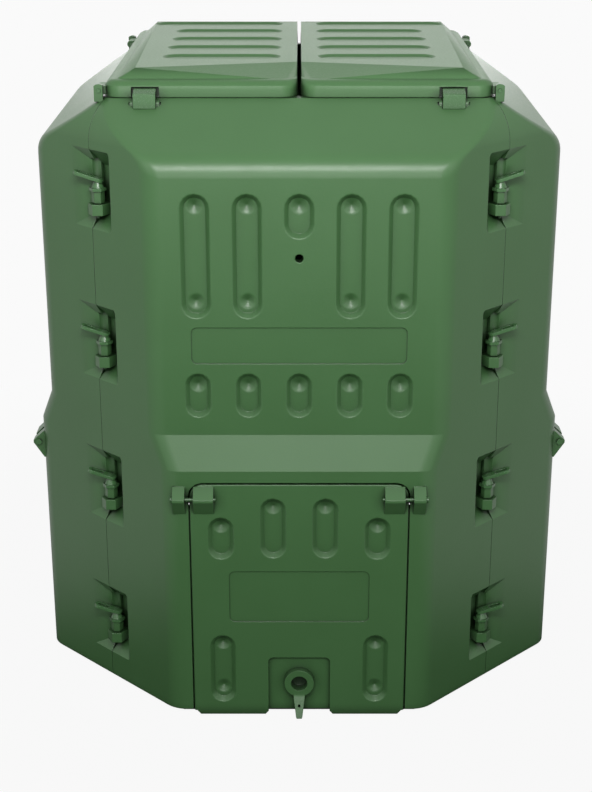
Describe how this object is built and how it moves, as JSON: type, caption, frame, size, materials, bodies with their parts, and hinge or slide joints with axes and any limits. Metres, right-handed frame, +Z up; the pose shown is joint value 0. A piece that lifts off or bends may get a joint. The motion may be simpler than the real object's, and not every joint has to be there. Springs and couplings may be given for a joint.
{
  "type": "compost bin",
  "caption": "Square garden compost bin with cut corners: walls joined by pull pins, hinged emptying hatches with turn keys, and twin lids that open sideways.",
  "frame": {"origin": "middle of the base, on the ground", "axes": "+Z up, -Y out of the front wall, +X to the right seen from the front"},
  "size_m": [0.89, 0.89, 1.0083],
  "materials": {
    "moulded_green": "dark green moulded polyethylene with a soft satin skin",
    "fitting_green": "green moulded polypropylene, slightly smoother than the walls"
  },
  "bodies": {
    "walls": {"front_wall": "moulded_green", "right_wall": "moulded_green", "rear_wall": "moulded_green", "left_wall": "moulded_green", "front_hatch_pins": "fitting_green", "right_hatch_pins": "fitting_green", "rear_hatch_pins": "fitting_green", "left_hatch_pins": "fitting_green", "left_lid_pins": "fitting_green", "right_lid_pins": "fitting_green"},
    "front_hatch": {"front_hatch": "moulded_green"},
    "front_key": {"front_key": "fitting_green", "front_cam": "fitting_green"},
    "right_hatch": {"right_hatch": "moulded_green"},
    "right_key": {"right_key": "fitting_green", "right_cam": "fitting_green"},
    "rear_hatch": {"rear_hatch": "moulded_green"},
    "rear_key": {"rear_key": "fitting_green", "rear_cam": "fitting_green"},
    "left_hatch": {"left_hatch": "moulded_green"},
    "left_key": {"left_key": "fitting_green", "left_cam": "fitting_green"},
    "front_left_pin_1": {"front_left_pin_1": "fitting_green"},
    "front_left_pin_2": {"front_left_pin_2": "fitting_green"},
    "front_left_pin_3": {"front_left_pin_3": "fitting_green"},
    "front_left_pin_4": {"front_left_pin_4": "fitting_green"},
    "front_left_catch": {"front_left_catch": "fitting_green"},
    "front_right_pin_1": {"front_right_pin_1": "fitting_green"},
    "front_right_pin_2": {"front_right_pin_2": "fitting_green"},
    "front_right_pin_3": {"front_right_pin_3": "fitting_green"},
    "front_right_pin_4": {"front_right_pin_4": "fitting_green"},
    "front_right_catch": {"front_right_catch": "fitting_green"},
    "rear_left_pin_1": {"rear_left_pin_1": "fitting_green"},
    "rear_left_pin_2": {"rear_left_pin_2": "fitting_green"},
    "rear_left_pin_3": {"rear_left_pin_3": "fitting_green"},
    "rear_left_pin_4": {"rear_left_pin_4": "fitting_green"},
    "rear_left_catch": {"rear_left_catch": "fitting_green"},
    "rear_right_pin_1": {"rear_right_pin_1": "fitting_green"},
    "rear_right_pin_2": {"rear_right_pin_2": "fitting_green"},
    "rear_right_pin_3": {"rear_right_pin_3": "fitting_green"},
    "rear_right_pin_4": {"rear_right_pin_4": "fitting_green"},
    "rear_right_catch": {"rear_right_catch": "fitting_green"},
    "left_lid": {"left_lid": "moulded_green"},
    "right_lid": {"right_lid": "moulded_green"}
  },
  "joints": [
    {"name": "front_hatch_hinge", "type": "hinge", "parent": "walls", "child": "front_hatch", "pos_m": [0, -0.433, 0.382], "axis": [-1, 0, 0], "range_deg": [0, 150]},
    {"name": "front_key_turn", "type": "hinge", "parent": "front_hatch", "child": "front_key", "pos_m": [0, -0.431, 0.06], "axis": [0, -1, 0], "range_deg": [0, 90]},
    {"name": "right_hatch_hinge", "type": "hinge", "parent": "walls", "child": "right_hatch", "pos_m": [0.433, 0, 0.382], "axis": [0, -1, 0], "range_deg": [0, 150]},
    {"name": "right_key_turn", "type": "hinge", "parent": "right_hatch", "child": "right_key", "pos_m": [0.431, 0, 0.06], "axis": [1, 0, 0], "range_deg": [0, 90]},
    {"name": "rear_hatch_hinge", "type": "hinge", "parent": "walls", "child": "rear_hatch", "pos_m": [0, 0.433, 0.382], "axis": [1, 0, 0], "range_deg": [0, 150]},
    {"name": "rear_key_turn", "type": "hinge", "parent": "rear_hatch", "child": "rear_key", "pos_m": [0, 0.431, 0.06], "axis": [0, 1, 0], "range_deg": [0, 90]},
    {"name": "left_hatch_hinge", "type": "hinge", "parent": "walls", "child": "left_hatch", "pos_m": [-0.433, 0, 0.382], "axis": [0, 1, 0], "range_deg": [0, 150]},
    {"name": "left_key_turn", "type": "hinge", "parent": "left_hatch", "child": "left_key", "pos_m": [-0.431, 0, 0.06], "axis": [-1, 0, 0], "range_deg": [0, 90]},
    {"name": "front_left_pin_1_pull", "type": "slide", "parent": "walls", "child": "front_left_pin_1", "axis": [0, 0, 1], "range_m": [0, 0.024]},
    {"name": "front_left_pin_2_pull", "type": "slide", "parent": "walls", "child": "front_left_pin_2", "axis": [0, 0, 1], "range_m": [0, 0.024]},
    {"name": "front_left_pin_3_pull", "type": "slide", "parent": "walls", "child": "front_left_pin_3", "axis": [0, 0, 1], "range_m": [0, 0.024]},
    {"name": "front_left_pin_4_pull", "type": "slide", "parent": "walls", "child": "front_left_pin_4", "axis": [0, 0, 1], "range_m": [0, 0.024]},
    {"name": "front_left_catch_turn", "type": "hinge", "parent": "walls", "child": "front_left_catch", "pos_m": [-0.228, -0.3, 0.961], "axis": [1, 0, 0], "range_deg": [0, 55]},
    {"name": "front_right_pin_1_pull", "type": "slide", "parent": "walls", "child": "front_right_pin_1", "axis": [0, 0, 1], "range_m": [0, 0.024]},
    {"name": "front_right_pin_2_pull", "type": "slide", "parent": "walls", "child": "front_right_pin_2", "axis": [0, 0, 1], "range_m": [0, 0.024]},
    {"name": "front_right_pin_3_pull", "type": "slide", "parent": "walls", "child": "front_right_pin_3", "axis": [0, 0, 1], "range_m": [0, 0.024]},
    {"name": "front_right_pin_4_pull", "type": "slide", "parent": "walls", "child": "front_right_pin_4", "axis": [0, 0, 1], "range_m": [0, 0.024]},
    {"name": "front_right_catch_turn", "type": "hinge", "parent": "walls", "child": "front_right_catch", "pos_m": [0.228, -0.3, 0.961], "axis": [1, 0, 0], "range_deg": [0, 55]},
    {"name": "rear_left_pin_1_pull", "type": "slide", "parent": "walls", "child": "rear_left_pin_1", "axis": [0, 0, 1], "range_m": [0, 0.024]},
    {"name": "rear_left_pin_2_pull", "type": "slide", "parent": "walls", "child": "rear_left_pin_2", "axis": [0, 0, 1], "range_m": [0, 0.024]},
    {"name": "rear_left_pin_3_pull", "type": "slide", "parent": "walls", "child": "rear_left_pin_3", "axis": [0, 0, 1], "range_m": [0, 0.024]},
    {"name": "rear_left_pin_4_pull", "type": "slide", "parent": "walls", "child": "rear_left_pin_4", "axis": [0, 0, 1], "range_m": [0, 0.024]},
    {"name": "rear_left_catch_turn", "type": "hinge", "parent": "walls", "child": "rear_left_catch", "pos_m": [-0.228, 0.3, 0.961], "axis": [-1, 0, 0], "range_deg": [0, 55]},
    {"name": "rear_right_pin_1_pull", "type": "slide", "parent": "walls", "child": "rear_right_pin_1", "axis": [0, 0, 1], "range_m": [0, 0.024]},
    {"name": "rear_right_pin_2_pull", "type": "slide", "parent": "walls", "child": "rear_right_pin_2", "axis": [0, 0, 1], "range_m": [0, 0.024]},
    {"name": "rear_right_pin_3_pull", "type": "slide", "parent": "walls", "child": "rear_right_pin_3", "axis": [0, 0, 1], "range_m": [0, 0.024]},
    {"name": "rear_right_pin_4_pull", "type": "slide", "parent": "walls", "child": "rear_right_pin_4", "axis": [0, 0, 1], "range_m": [0, 0.024]},
    {"name": "rear_right_catch_turn", "type": "hinge", "parent": "walls", "child": "rear_right_catch", "pos_m": [0.228, 0.3, 0.961], "axis": [-1, 0, 0], "range_deg": [0, 55]},
    {"name": "left_lid_hinge", "type": "hinge", "parent": "walls", "child": "left_lid", "pos_m": [-0.297, 0, 0.978], "axis": [0, -1, 0], "range_deg": [0, 110]},
    {"name": "right_lid_hinge", "type": "hinge", "parent": "walls", "child": "right_lid", "pos_m": [0.297, 0, 0.978], "axis": [0, 1, 0], "range_deg": [0, 110]}
  ]
}
